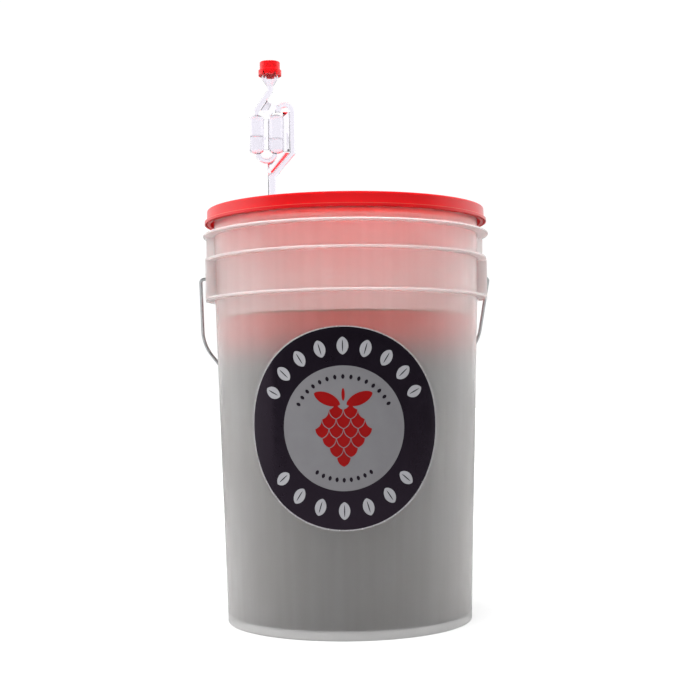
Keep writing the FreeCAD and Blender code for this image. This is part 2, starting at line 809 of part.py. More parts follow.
def make_cap():
    """A loose cap over the funnel, its skirt cut into lobes that let gas out."""
    body = new_body("airlock_cap")
    body.Placement = Placement(Vector(0, 0, 0), Rotation(Vector(0, 0, -1), 5))
    bind(
        body,
        Placement__Base__x="airlock_x + outlet_offset * cos(airlock_turn)",
        Placement__Base__y="airlock_y + outlet_offset * sin(airlock_turn)",
        Placement__Rotation__Angle="-airlock_turn",
    )
    outline = [
        ("0", "cap_ceiling"),
        ("cap_bore", "cap_ceiling"),
        ("cap_bore", "cap_bottom"),
        ("cap_skirt_radius", "cap_bottom"),
        ("cap_skirt_radius", "cap_step - 1"),
        ("cap_radius", "cap_step"),
        ("cap_radius", "cap_shoulder"),
        ("0", "cap_top"),
    ]
    shell = revolve(body, outline, "cap_shell")
    round_edges(body, shell, [("cap_radius", "cap_shoulder")], "cap_edge", "cap_rounding")
    notch = sketch_in(body, "YZ_Plane", "cap_notch_outline", "0")
    half = "cap_notch_width / 2"
    draw_outline(notch, [
        (f"-{half}", "cap_bottom - 1"),
        (half, "cap_bottom - 1"),
        (half, "cap_bottom"),
        ("0", "cap_bottom + cap_notch_height"),
        (f"-{half}", "cap_bottom"),
    ])
    first = pocket(body, notch, "cap_notch", "cap_skirt_radius * 2", backwards=True)
    round_pattern(body, first, "cap_notch_round", "cap_notches")
    return body


# ---- Label ------------------------------------------------------------------------------------------

def make_label():
    """A thin round label wrapped on the tapered wall, so it looks narrower than tall from the front."""
    radius = number("label_radius")
    middle = number("label_height")
    wall = number(wall_radius("label_height"))
    points = []
    steps = 48
    for step in range(steps):
        turn = 2 * math.pi * step / steps
        around = radius * math.sin(turn) / wall
        points.append(Vector(wall * math.sin(around), -2 * wall, middle + radius * math.cos(turn)))
    curve = Part.BSplineCurve()
    curve.interpolate(points, PeriodicFlag=True)
    cutter = Part.Face(Part.Wire(curve.toShape())).extrude(Vector(0, 2 * wall, 0))

    bottom = middle - radius - 1
    height = 2 * radius + 2
    inner, outer = (
        Part.makeCone(
            number(wall_radius(str(bottom))) + gap, number(wall_radius(str(bottom + height))) + gap, height,
            Vector(0, 0, bottom),
        )
        for gap in (number("label_gap"), number("label_gap + label_thickness"))
    )
    label = doc.addObject("Part::Feature", "front_label")
    label.Label = "front_label"
    label.Shape = outer.cut(inner).common(cutter)
    label.Placement = Placement(Vector(0, 0, 0), Rotation(Vector(0, 0, 1), number("label_turn")))
    return label


# ---- Everything -------------------------------------------------------------------------------------

subparts = [
    make_pail(),
    make_bail(),
    make_grip(),
    make_lid(),
    make_gasket(),
    make_grommet(),
    *make_airlock(),
    make_cap(),
    make_label(),
]
doc.recompute()

failed = [thing.Label for thing in doc.Objects if {"Invalid", "Error"} & set(thing.State)]
if failed:
    raise RuntimeError(f"failed objects: {failed}")
for subpart in subparts:
    if subpart.Shape.isNull() or not subpart.Shape.isValid() or not subpart.Shape.Solids:
        raise RuntimeError(f"{subpart.Label} has no valid solid")

os.makedirs("parts", exist_ok=True)
for subpart in subparts:
    subpart.Shape.exportStep(f"parts/{subpart.Label}.step")
    print(subpart.Label, len(subpart.Shape.Solids), round(subpart.Shape.Volume), subpart.Shape.BoundBox)
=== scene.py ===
"""Looks for a plastic fermenting bucket: brew in a milky pail, red lid, clear airlock, wire bail.

Lengths are metres and angles degrees unless a name says otherwise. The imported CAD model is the
fixed frame: its nodes keep their shapes and get materials. The pieces made here are what the CAD
leaves out (the brew, the water in the airlock, the ribs under the lid's lip, the printed layers of
the label) and two that stand for CAD nodes: the airlock's halves as one skin, and the label's film.
"""
import math

import bmesh
import bpy
from mathutils import Matrix, Vector
from mathutils.bvhtree import BVHTree


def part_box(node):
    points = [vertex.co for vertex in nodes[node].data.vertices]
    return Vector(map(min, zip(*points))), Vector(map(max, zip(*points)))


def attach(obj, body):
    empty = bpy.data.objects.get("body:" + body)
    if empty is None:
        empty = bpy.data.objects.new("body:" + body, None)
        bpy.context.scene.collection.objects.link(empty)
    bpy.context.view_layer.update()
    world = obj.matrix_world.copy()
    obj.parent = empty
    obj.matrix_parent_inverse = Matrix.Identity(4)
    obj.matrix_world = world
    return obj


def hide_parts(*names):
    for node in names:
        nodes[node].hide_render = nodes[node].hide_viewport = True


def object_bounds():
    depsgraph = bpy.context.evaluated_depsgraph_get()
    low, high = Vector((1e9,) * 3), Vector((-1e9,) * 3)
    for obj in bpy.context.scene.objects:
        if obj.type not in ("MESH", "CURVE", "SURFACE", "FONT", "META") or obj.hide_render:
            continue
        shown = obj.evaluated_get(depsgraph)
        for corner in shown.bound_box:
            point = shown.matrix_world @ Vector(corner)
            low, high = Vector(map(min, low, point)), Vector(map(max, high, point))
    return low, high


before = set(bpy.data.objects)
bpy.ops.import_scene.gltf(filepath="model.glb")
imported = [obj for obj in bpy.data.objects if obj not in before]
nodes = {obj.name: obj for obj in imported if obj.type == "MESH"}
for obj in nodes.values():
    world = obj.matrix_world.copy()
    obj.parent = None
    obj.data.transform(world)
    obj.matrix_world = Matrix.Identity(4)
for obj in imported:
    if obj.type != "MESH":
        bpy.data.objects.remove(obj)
cad_low, cad_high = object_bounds()


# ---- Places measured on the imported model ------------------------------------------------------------

def solid(node):
    """The node's mesh as a tree that rays can be cast at."""
    mesh = nodes[node].data
    corners = [vertex.co for vertex in mesh.vertices]
    faces = [tuple(polygon.vertices) for polygon in mesh.polygons]
    return BVHTree.FromPolygons(corners, faces)


pail_solid = solid("bucket_body")
PROBE_TURN = 35.0     # a direction from the axis that meets only the plain round wall
PROBE_HEIGHT = 0.2    # in the open, well above the pail's floor
FAR = 1.0
UP = Vector((0, 0, 1))


def heading(turn):
    """The level direction at this angle from -Y towards +X."""
    angle = math.radians(turn)
    return Vector((math.sin(angle), -math.cos(angle), 0))


def inside_radius(height):
    """Radius of the pail's inner wall at a height."""
    return pail_solid.ray_cast(UP * height, heading(PROBE_TURN), FAR)[3]


def outside_radius(height):
    """Radius of the pail's outer wall at a height."""
    start = heading(PROBE_TURN) * FAR + UP * height
    return FAR - pail_solid.ray_cast(start, -heading(PROBE_TURN), FAR)[3]


def floor_top(radius):
    """Height of the pail's floor at this distance from the axis."""
    start = heading(PROBE_TURN) * radius + UP * PROBE_HEIGHT
    return pail_solid.ray_cast(start, -UP, FAR)[0].z


# ---- Node materials ---------------------------------------------------------------------------------

class Finish:
    """A material round one Principled shader, with helpers for the nodes that feed it."""

    def __init__(self, name, colour, roughness, **inputs):
        self.material = bpy.data.materials.new(name)
        self.material.use_nodes = True
        self.tree = self.material.node_tree
        self.shader = self.tree.nodes["Principled BSDF"]
        self.place = self.node("ShaderNodeTexCoord").outputs["Object"]
        self.set("Base Color", colour)
        self.set("Roughness", roughness)
        for socket, value in inputs.items():
            self.set(socket.replace("_", " "), value)

    def node(self, kind, **settings):
        """A new node with these settings."""
        made = self.tree.nodes.new(kind)
        for key, value in settings.items():
            setattr(made, key, value)
        return made

    def feed(self, socket, value):
        """Give a socket either a plain value or another node's output."""
        if isinstance(value, bpy.types.NodeSocket):
            self.tree.links.new(value, socket)
        elif hasattr(value, "__len__") and len(value) == 3 and socket.type == "RGBA":
            socket.default_value = (*value, 1)
        else:
            socket.default_value = value

    def set(self, name, value):
        """Give one of the shader's sockets a plain value or another node's output."""
        self.feed(self.shader.inputs[name], value)

    def noise(self, scale, detail, stretch=(1, 1, 1)):
        """Noise in the object's own space; stretch scales each axis."""
        mapping = self.node("ShaderNodeMapping")
        mapping.inputs["Scale"].default_value = stretch
        self.feed(mapping.inputs["Vector"], self.place)
        noise = self.node("ShaderNodeTexNoise")
        noise.inputs["Scale"].default_value = scale
        noise.inputs["Detail"].default_value = detail
        self.feed(noise.inputs["Vector"], mapping.outputs["Vector"])
        return noise.outputs["Fac"]

    def cells(self, scale):
        """Soft cell pattern in the object's own space: distance to the nearest cell centre."""
        cells = self.node("ShaderNodeTexVoronoi", feature="SMOOTH_F1")
        cells.inputs["Scale"].default_value = scale
        self.feed(cells.inputs["Vector"], self.place)
        return cells.outputs["Distance"]

    def spread(self, value, low, high, to_low=0.0, to_high=1.0):
        """Map low..high to to_low..to_high, smoothly, and hold the ends."""
        ranged = self.node("ShaderNodeMapRange", interpolation_type="SMOOTHSTEP")
        self.feed(ranged.inputs["Value"], value)
        names = ("From Min", "From Max", "To Min", "To Max")
        for name, number in zip(names, (low, high, to_low, to_high)):
            self.feed(ranged.inputs[name], number)
        return ranged.outputs["Result"]

    def maths(self, operation, first, second):
        """One step of arithmetic on two values."""
        node = self.node("ShaderNodeMath", operation=operation)
        self.feed(node.inputs[0], first)
        self.feed(node.inputs[1], second)
        return node.outputs["Value"]

    def blend(self, share, first, second):
        """Mix two colours."""
        mix = self.node("ShaderNodeMix", data_type="RGBA")
        self.feed(mix.inputs["Factor"], share)
        self.feed(mix.inputs[6], first)
        self.feed(mix.inputs[7], second)
        return mix.outputs[2]

    def height(self):
        """Height above the ground when the object is at rest."""
        parts = self.node("ShaderNodeSeparateXYZ")
        self.feed(parts.inputs["Vector"], self.place)
        return parts.outputs["Z"]

    def radius(self):
        """Distance from the pail's axis."""
        flat = self.node("ShaderNodeVectorMath", operation="MULTIPLY")
        self.feed(flat.inputs[0], self.place)
        flat.inputs[1].default_value = (1, 1, 0)
        length = self.node("ShaderNodeVectorMath", operation="LENGTH")
        self.feed(length.inputs[0], flat.outputs["Vector"])
        return length.outputs["Value"]

    def bump(self, value, depth, strength=1.0):
        """Raise the surface by value times depth in metres; bumps add to one another."""
        node = self.node("ShaderNodeBump")
        node.inputs["Strength"].default_value = strength
        node.inputs["Distance"].default_value = depth
        self.feed(node.inputs["Height"], value)
        socket = self.shader.inputs["Normal"]
        if socket.is_linked:
            self.feed(node.inputs["Normal"], socket.links[0].from_socket)
        self.feed(socket, node.outputs["Normal"])


THICK_FADE = 0.002       # width of the change from the thin wall to thicker, whiter plastic, and into the foot's painted whitening
FOOT_LIGHT_FADE = 0.001        # the foot's painted whitening is full from this far below its upper end


def pail_plastic(places):
    """Natural polyethylene: milky right through, satin outside, with faint upright flow lines.

    The wall is thin and lets most light through; the flanges and ears are thicker and whiter, and the foot
    is painted whiter and made less clear to stand for the light that shows beneath it.
    """
    finish = Finish("pail_polyethylene", (0.7, 0.69, 0.68), 0.75, IOR=1.45)
    finish.set("Coat Weight", 0.5)
    finish.set("Coat Roughness", 0.22)
    flow = finish.spread(finish.noise(110, 3, (1, 1, 0.02)), 0.3, 0.7)
    cloud = finish.noise(14, 3)
    tone = finish.blend(flow, (0.835, 0.82, 0.812), (0.895, 0.885, 0.88))
    wall = finish.blend(finish.spread(cloud, 0.3, 0.7, 0, 0.35), tone, (0.83, 0.81, 0.79))
    thick = finish.spread(finish.radius(), places["wall"], places["wall"] + THICK_FADE)
    # painted light: the foot is whitened and made less clear to stand for light seen beneath the recessed
    # floor
    foot = finish.spread(finish.height(), places["foot"] + THICK_FADE, places["foot"] - FOOT_LIGHT_FADE)
    thick_and_painted_foot = finish.maths("MAXIMUM", thick, foot)
    finish.set("Base Color", finish.blend(thick_and_painted_foot, wall, (0.96, 0.95, 0.945)))
    finish.set("Transmission Weight", finish.spread(thick_and_painted_foot, 0, 1, 0.93, 0.7))
    finish.set("Roughness", finish.spread(cloud, 0.25, 0.75, 0.68, 0.8))
    finish.bump(finish.noise(420, 4), 0.00006, 0.4)
    finish.bump(flow, 0.0002, 0.3)
    return finish.material


def red_plastic(name, grain):
    """Finish of red polyethylene that passes a little light, with a fine moulded grain."""
    finish = Finish(name, (0.86, 0.005, 0.009), 0.32, IOR=1.45, Transmission_Weight=0.5)
    cloud = finish.noise(9, 2)
    finish.set("Base Color", finish.blend(cloud, (0.82, 0.004, 0.008), (0.92, 0.007, 0.012)))
    finish.set("Roughness", finish.spread(cloud, 0.3, 0.7, 0.28, 0.36))
    finish.bump(finish.noise(grain, 2), 0.00003, 0.25)
    return finish


def lid_plastic(places):
    """The lid's red: a painted pale highlight on its lip's upper outer edge, and a painted glow on the
    underside where daylight would come through.
    """
    finish = red_plastic("lid_red", 260)
    body = finish.shader.inputs["Base Color"].links[0].from_socket
    outer = finish.spread(finish.radius(), places["lip"] - 0.0012, places["lip"] - 0.0004)
    upper = finish.spread(finish.height(), places["lip_edge"] - 0.0010, places["lip_edge"])
    painted_lip_highlight = finish.maths("MULTIPLY", outer, upper)
    # painted highlight: a pale pink rim where light catches the lip's outer edge
    finish.set("Base Color", finish.blend(painted_lip_highlight, body, (0.98, 0.36, 0.27)))
    # painted glow: emission on the underside inside the mouth stands for daylight coming through the red
    # lid
    below = finish.spread(finish.height(), places["panel"], places["panel"] - 0.0003)
    within = finish.spread(finish.radius(), places["mouth"] + 0.0005, places["mouth"])
    lit = finish.maths("MULTIPLY", below, within)
    finish.set("Emission Color", (1.0, 0.05, 0.035))
    finish.set("Emission Strength", finish.maths("MULTIPLY", lit, LID_GLOW))
    return finish.material


def galvanised_wire():
    """Drawn wire under a dull zinc coat: patches of lighter and darker grey, and a fine streaky grain."""
    finish = Finish("galvanised_wire", (0.55, 0.56, 0.57), 0.4, Metallic=1.0)
    patches = finish.noise(260, 4)
    finish.set("Base Color", finish.blend(patches, (0.36, 0.37, 0.38), (0.66, 0.67, 0.68)))
    finish.set("Roughness", finish.spread(patches, 0.3, 0.7, 0.3, 0.52))
    finish.bump(finish.noise(900, 3, (0.15, 1, 1)), 0.00004, 0.6)
    return finish.material


def grip_plastic():
    """White moulded polyethylene with a sanded mould grain and faint patches of grime."""
    finish = Finish("grip_white", (0.84, 0.84, 0.82), 0.45, Subsurface_Weight=0.15, IOR=1.5)
    finish.shader.inputs["Subsurface Radius"].default_value = (0.004, 0.003, 0.0025)
    cloud = finish.noise(90, 4)
    grime = finish.spread(cloud, 0.45, 0.75)
    finish.set("Base Color", finish.blend(grime, (0.86, 0.86, 0.84), (0.77, 0.76, 0.73)))
    finish.set("Roughness", finish.spread(cloud, 0.3, 0.7, 0.4, 0.55))
    finish.bump(finish.noise(1500, 2), 0.00004, 0.6)
    return finish.material


def soft_rubber(name, dark, light):
    """Moulded rubber: matt, faintly mottled, with dusty highlights."""
    finish = Finish(name, dark, 0.6, Sheen_Weight=0.15)
    cloud = finish.noise(300, 4)
    finish.set("Base Color", finish.blend(cloud, dark, light))
    finish.set("Roughness", finish.spread(cloud, 0.3, 0.7, 0.52, 0.7))
    finish.bump(finish.noise(1800, 2), 0.00003, 0.7)
    return finish.material


def clear_plastic():
    """Clear polystyrene with the slight waviness of a thin moulding."""
    finish = Finish("clear_polystyrene", (0.90, 0.885, 0.93), 0.03, IOR=1.42, Transmission_Weight=1.0)
    finish.set("Roughness", finish.spread(finish.noise(120, 2), 0.35, 0.75, 0.02, 0.07))
    finish.bump(finish.noise(240, 2), 0.00012, 0.35)
    return finish.material


def water():
    """Clean water with a trace of movement on its surface."""
    finish = Finish("airlock_water", (0.99, 0.985, 0.99), 0.0, IOR=1.33, Transmission_Weight=1.0)
    finish.set("Roughness", finish.spread(finish.noise(80, 2), 0.4, 0.7, 0.0, 0.03))
    finish.bump(finish.noise(300, 1), 0.0002, 0.2)
    return finish.material


RED_GLOW_DEPTH = 0.05        # painted red light shows at the wall this far down from the brew's surface
RED_GLOW_STRENGTH = 0.36         # strength of the painted red glow, which stands for red daylight caught in the cloudy liquid


def brew(surface):
    """Cloudy beer: tan with patches of foam on top and grey below, with painted red light at the wall just
    under its surface: a red colour and a glow that stand for daylight through the red lid.
    """
    finish = Finish("cloudy_brew", (0.4, 0.38, 0.38), 0.35, IOR=1.34)
    height = finish.height()
    drift = finish.noise(9, 4)
    wavy = finish.maths("ADD", height, finish.maths("MULTIPLY", drift, 0.03))
    deep = finish.blend(finish.spread(wavy, 0.03, 0.25), (0.158, 0.150, 0.146), (0.158, 0.152, 0.149))
    glow = finish.spread(wavy, surface - RED_GLOW_DEPTH, surface + 0.006)
    side = finish.spread(height, surface - 0.0001, surface - 0.0008)
    foam = finish.spread(finish.noise(46, 6), 0.5, 0.62)
    top = finish.blend(foam, (0.66, 0.40, 0.22), (0.84, 0.74, 0.58))
    # painted light: the red at the wall under the surface stands for daylight through the red lid
    wall = finish.blend(glow, deep, (0.42, 0.03, 0.02))
    finish.set("Base Color", finish.blend(side, top, wall))
    finish.set("Emission Color", (1.0, 0.10, 0.06))
    painted_red_glow = finish.maths("MULTIPLY", finish.maths("POWER", glow, 1.5), side)
    finish.set("Emission Strength", finish.maths("MULTIPLY", painted_red_glow, RED_GLOW_STRENGTH))
    finish.set("Roughness", finish.spread(foam, 0, 1, 0.18, 0.55))
    finish.bump(finish.cells(420), 0.0006, 0.2)
    finish.bump(foam, 0.0008, 0.5)
    return finish.material


def printed_film(name, low, high, roughness=0.2, sheen=(1, 1, 1)):
    """One ink of the label: satin print under a clear film, slightly uneven."""
    finish = Finish(name, low, roughness, IOR=1.3)
    finish.set("Specular Tint", (*sheen, 1))
    cloud = finish.noise(60, 4)
    finish.set("Base Color", finish.blend(cloud, low, high))
    finish.set("Roughness", finish.spread(cloud, 0.3, 0.7, roughness - 0.04, roughness + 0.05))
    finish.bump(finish.noise(700, 3), 0.00002, 0.6)
    return finish.material


SEEN_THROUGH = 0.6      # share of the backdrop's white that clear plastic shows


def seen_directly(tree, path):
    """1 for a camera ray, a little over half for one that has only passed through see-through plastic."""
    undimmed = tree.nodes.new("ShaderNodeMapRange")
    undimmed.inputs["To Min"].default_value = SEEN_THROUGH
    undimmed.inputs["To Max"].default_value = 0
    tree.links.new(path.outputs["Diffuse Depth"], undimmed.inputs["Value"])
    through = tree.nodes.new("ShaderNodeMath")
    through.operation = "MULTIPLY_ADD"
    tree.links.new(path.outputs["Is Transmission Ray"], through.inputs[0])
    tree.links.new(undimmed.outputs["Result"], through.inputs[1])
    tree.links.new(path.outputs["Is Camera Ray"], through.inputs[2])
    return through.outputs["Value"]


def studio_white():
    """Pale seamless paper that shows white to the eye, but sheds only ordinary light on the object."""
    finish = Finish("studio_paper", (0.25, 0.25, 0.25), 0.9)
    finish.set("Emission Color", (1, 1, 1))
    seen = seen_directly(finish.tree, finish.node("ShaderNodeLightPath"))
    far_brighter = finish.spread(finish.radius(), 0.25, 1.0, 0.5, 0.97)
    finish.set("Emission Strength", finish.maths("MULTIPLY", seen, far_brighter))
    finish.set("Base Color", finish.blend(finish.noise(3, 3), (0.24, 0.24, 0.24), (0.26, 0.26, 0.26)))
    finish.bump(finish.noise(500, 2), 0.0001, 0.2)
    return finish.material


def dress(node, material):
    """Give a CAD node its material."""
    slots = nodes[node].material_slots
    for slot in slots:
        slot.material = material
    if not slots:
        nodes[node].data.materials.append(material)


LID_GLOW = 0.55                       # stands for the daylight that a real lid lets through
BARE_WALL_HEIGHT = 0.44               # only the plain wall is met at this height, near the rim
WALL_MARGIN = 0.0005                  # anything wider than the bare wall by this is thicker plastic
FOOT_TOP = 0.010                      # upper end of the foot under the recessed floor
LIP_HIGHLIGHT_RISE = 0.0082                # the lip's painted pale highlight reaches this far above the lid's lowest point
UNDER_LID = Vector((0.09, 0, 0.3))    # in the open, straight below the lid's plain panel
GLOW_DEPTH = 0.00195                  # from the panel's underside nearly to its top face
MOUTH_DROP = 0.004                    # the pail's mouth is measured this far below the panel


def plastic_places():
    """Where the plastic changes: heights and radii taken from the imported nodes."""
    low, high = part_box("lid")
    panel = solid("lid").ray_cast(UNDER_LID, UP, FAR)[0].z
    return {
        "wall": outside_radius(BARE_WALL_HEIGHT) + WALL_MARGIN,
        "foot": FOOT_TOP,
        "lip": high.x,
        "lip_edge": low.z + LIP_HIGHLIGHT_RISE,
        "panel": panel + GLOW_DEPTH,
        "mouth": inside_radius(panel - MOUTH_DROP),
    }


# ---- Mesh building ----------------------------------------------------------------------------------

ON_AXIS = 1e-9       # a smaller radius than this counts as a point on the axis


def piece(name, verts, faces, material, body, smooth=True):
    """Turn corners and faces into an object that rides on a body and fills a material slot."""
    mesh = bpy.data.meshes.new(name)
    mesh.from_pydata(verts, [], faces)
    mesh.validate()
    work = bmesh.new()
    work.from_mesh(mesh)
    bmesh.ops.recalc_face_normals(work, faces=work.faces)
    work.to_mesh(mesh)
    work.free()
    mesh.materials.append(material)
    mesh.polygons.foreach_set("use_smooth", [smooth] * len(mesh.polygons))
    made = bpy.data.objects.new(name, mesh)
    bpy.context.collection.objects.link(made)
    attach(made, body)
    return made


def bake_modifiers(made):
    """Replace an object's mesh by what its modifiers make of it."""
    graph = bpy.context.evaluated_depsgraph_get()
    result = bpy.data.meshes.new_from_object(made.evaluated_get(graph))
    made.modifiers.clear()
    made.data = result


def ring_faces(start, rows, count):
    """Quads between closed rings of corners that are stored one ring after another."""
    faces = []
    for row in range(rows):
        first = start + row * count
        for step in range(count):
            after = (step + 1) % count
            faces.append((first + step, first + after, first + count + after, first + count + step))
    return faces


def turned(profile, steps, offset=0):
    """Corners and faces of a closed solid of revolution about an upright axis at this X offset.

    The profile runs from axis to axis as (radius, height).
    """
    verts, faces, rows = [], [], []
    for radius, height in profile:
        if radius < ON_AXIS:
            rows.append([len(verts)] * steps)
            verts.append((offset, 0, height))
            continue
        rows.append(list(range(len(verts), len(verts) + steps)))
        for step in range(steps):
            turn = 2 * math.pi * step / steps
            verts.append((offset + radius * math.cos(turn), radius * math.sin(turn), height))
    for lower, upper in zip(rows, rows[1:]):
        for step in range(steps):
            after = (step + 1) % steps
            corners = (lower[step], lower[after], upper[after], upper[step])
            faces.append(tuple(dict.fromkeys(corners)))
    return verts, faces


# ---- The brew ---------------------------------------------------------------------------------------

BREW_LEVEL = 0.3363      # the liquid's surface
BREW_GAP = 0.0003        # kept from the plastic, so that the two surfaces never meet
BREW_AROUND = 192
WALL_STEPS = 30
MENISCUS_RISE = 0.0016
MENISCUS_WIDTH = 0.0045
MENISCUS_STEPS = 8
FLOOR_PROBE = 0.1        # radius at which the floor's height is taken
FLOOR_EDGE = 0.004       # rounding where the liquid's side meets the floor
FLOOR_EDGE_STEPS = 6


def brew_profile():
    """The liquid's outline, from the middle of the floor round to the middle of its surface."""
    floor = floor_top(FLOOR_PROBE) + BREW_GAP
    side_start = floor + FLOOR_EDGE
    profile = [(0, floor)]
    low_wall = inside_radius(side_start) - BREW_GAP
    for step in range(FLOOR_EDGE_STEPS + 1):
        angle = math.radians(90 * step / FLOOR_EDGE_STEPS)
        inset = FLOOR_EDGE * (1 - math.sin(angle))
        profile.append((low_wall - inset, floor + FLOOR_EDGE * (1 - math.cos(angle))))
    for step in range(1, WALL_STEPS + 1):
        height = side_start + (BREW_LEVEL - side_start) * step / WALL_STEPS
        profile.append((inside_radius(height) - BREW_GAP, height))
    wall = inside_radius(BREW_LEVEL) - BREW_GAP
    for step in range(MENISCUS_STEPS + 1):
        share = step / MENISCUS_STEPS
        profile.append((wall - MENISCUS_WIDTH * share, BREW_LEVEL + MENISCUS_RISE * (1 - share) ** 2))
    for share in (0.6, 0.3, 0):
        profile.append((wall * share, BREW_LEVEL))
    return profile


def make_brew():
    """The liquid fills the pail from its floor to the level, and climbs a little at the wall."""
    verts, faces = turned(brew_profile(), BREW_AROUND)
    piece("brew", verts, faces, brew(BREW_LEVEL), "pail")


# ---- The airlock's shell ------------------------------------------------------------------------------

SEAM_TOLERANCE = 0.00002
SHELL_SHARP_ANGLE = 35         # edges that turn more than this stay crisp
AIRLOCK_TURN = -5.5            # the airlock's own plane is turned this much about Z


def airlock_place():
    """From the airlock's own plane (offset, depth, height) to the frame."""
    low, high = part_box("grommet")
    stem = (low + high) / 2
    turn = Matrix.Rotation(math.radians(AIRLOCK_TURN), 4, "Z")
    return Matrix.Translation((stem.x, stem.y, 0)) @ turn


def make_airlock_shell(clear):
    """The two moulded halves as one welded skin, so light doesn't stop at a face inside the plastic."""
    work = bmesh.new()
    for node in ("airlock_front_half", "airlock_back_half"):
        work.from_mesh(nodes[node].data)
    upright = airlock_place().inverted()
    seam = []
    for face in work.faces:
        depths = [abs((upright @ corner.co).y) for corner in face.verts]
        if max(depths) < SEAM_TOLERANCE:
            seam.append(face)
    bmesh.ops.delete(work, geom=seam, context="FACES")
    bmesh.ops.remove_doubles(work, verts=work.verts, dist=SEAM_TOLERANCE)
    mesh = bpy.data.meshes.new("airlock_shell")
    work.to_mesh(mesh)
    work.free()
    mesh.materials.append(clear)
    mesh.polygons.foreach_set("use_smooth", [True] * len(mesh.polygons))
    mesh.set_sharp_from_angle(angle=math.radians(SHELL_SHARP_ANGLE))
    shell = bpy.data.objects.new("airlock_shell", mesh)
    bpy.context.collection.objects.link(shell)
    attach(shell, "airlock")
    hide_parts("airlock_front_half", "airlock_back_half")


# ---- Water in the airlock ---------------------------------------------------------------------------

# Offsets run across the airlock's own plane from its stem; heights are in the frame.
CHAMBER_OFFSETS = (0.00485, -0.01685)
CHAMBER_BORE = 0.0074                # radius inside a chamber
CHAMBER_DOME = 0.0036                # depth of its domed bottom
CHAMBER_BOTTOM = 0.5213              # height at which the dome starts
CHAMBER_AROUND = 64
DOME_STEPS = 9
WATER_LEVELS = (0.5338, 0.5368)
TRAP_BORE = 0.0022                   # radius inside the bent tube that joins the chambers
TRAP_CENTRE = (-0.006, 0.5186)
TRAP_BEND = 0.0096                   # radius of the tube's middle line
TRAP_STEPS = 40
TRAP_AROUND = 24
WATER_GAP = 0.00015                  # kept from the plastic
VOXEL = 0.00035                      # grid size when the water's parts are joined into one skin


def chamber_water(offset, level):
    """A round slug with a domed bottom."""
    profile = []
    reach = CHAMBER_BORE - WATER_GAP
    dome = CHAMBER_DOME - WATER_GAP
    for step in range(DOME_STEPS + 1):
        angle = math.radians(90 * step / DOME_STEPS)
        profile.append((reach * math.sin(angle), CHAMBER_BOTTOM - dome * math.cos(angle)))
    profile.append((reach, level))
    profile.append((0, level))
    return turned(profile, CHAMBER_AROUND, offset)


def trap_path():
    """The trap's middle line as (across, up, way), from one chamber round the bend to the other."""
    across, up = TRAP_CENTRE
    path = [(across - TRAP_BEND, CHAMBER_BOTTOM, -90.0)]
    for step in range(TRAP_STEPS + 1):
        angle = 180 + 180 * step / TRAP_STEPS
        turn = math.radians(angle)
        path.append((across + TRAP_BEND * math.cos(turn), up + TRAP_BEND * math.sin(turn), angle + 90))
    path.append((across + TRAP_BEND, CHAMBER_BOTTOM, 90.0))
    return path


def trap_water():
    """A bent rod along the trap, with its two ends standing in the chambers."""
    verts = []
    path = trap_path()
    reach = TRAP_BORE - WATER_GAP
    for across, up, way in path:
        slope = math.radians(way)
        normal = Vector((-math.sin(slope), 0, math.cos(slope)))
        for step in range(TRAP_AROUND):
            turn = 2 * math.pi * step / TRAP_AROUND
            offset = normal * reach * math.cos(turn) + Vector((0, 1, 0)) * reach * math.sin(turn)
            verts.append(Vector((across, 0, up)) + offset)
    faces = ring_faces(0, len(path) - 1, TRAP_AROUND)
    faces.append(tuple(range(TRAP_AROUND)))
    faces.append(tuple(range(len(verts) - TRAP_AROUND, len(verts))))
    return verts, faces


def make_water():
    """The liquid that seals the airlock: two slugs joined through the trap, as one skin."""
    verts, faces = [], []
    parts = [chamber_water(offset, level) for offset, level in zip(CHAMBER_OFFSETS, WATER_LEVELS)]
    for part_verts, part_faces in (*parts, trap_water()):
        start = len(verts)
        verts += [Vector(corner) for corner in part_verts]
        faces += [tuple(start + index for index in face) for face in part_faces]
    made = piece("airlock_water", verts, faces, water(), "airlock")
    made.data.transform(airlock_place())
    skin = made.modifiers.new("skin", "REMESH")
    skin.mode = "VOXEL"
    skin.voxel_size = VOXEL
    skin.use_smooth_shade = True
    bake_modifiers(made)


# ---- Ribs under the lid's lip -----------------------------------------------------------------------

LIP_RIBS = 132
LIP_RIB_THICKNESS = 0.0011
LIP_CHANNEL = (0.15545, 0.15745)    # inner and outer radius of the channel under the lip
LIP_RIB_HEIGHTS = (0.44235, 0.4441)
BLOCK_SIDES = ((0, 1, 2, 3), (4, 5, 6, 7), (0, 1, 5, 4), (1, 2, 6, 5), (2, 3, 7, 6), (3, 0, 4, 7))


def make_lip_ribs(lid_red):
    """Small radial plates that stiffen the open channel under the lid's lip."""
    verts, faces = [], []
    half = LIP_RIB_THICKNESS / 2
    for rib in range(LIP_RIBS):
        turn = 2 * math.pi * (rib + 0.5) / LIP_RIBS
        out = Vector((math.cos(turn), math.sin(turn), 0))
        side = Vector((-math.sin(turn), math.cos(turn), 0))
        start = len(verts)
        for height in LIP_RIB_HEIGHTS:
            for radius, way in ((0, -1), (1, -1), (1, 1), (0, 1)):
                verts.append(out * LIP_CHANNEL[radius] + side * half * way + UP * height)
        for corners in BLOCK_SIDES:
            faces.append(tuple(start + corner for corner in corners))
    piece("lid_lip_ribs", verts, faces, lid_red, "lid", smooth=False)


# ---- The label --------------------------------------------------------------------------------------

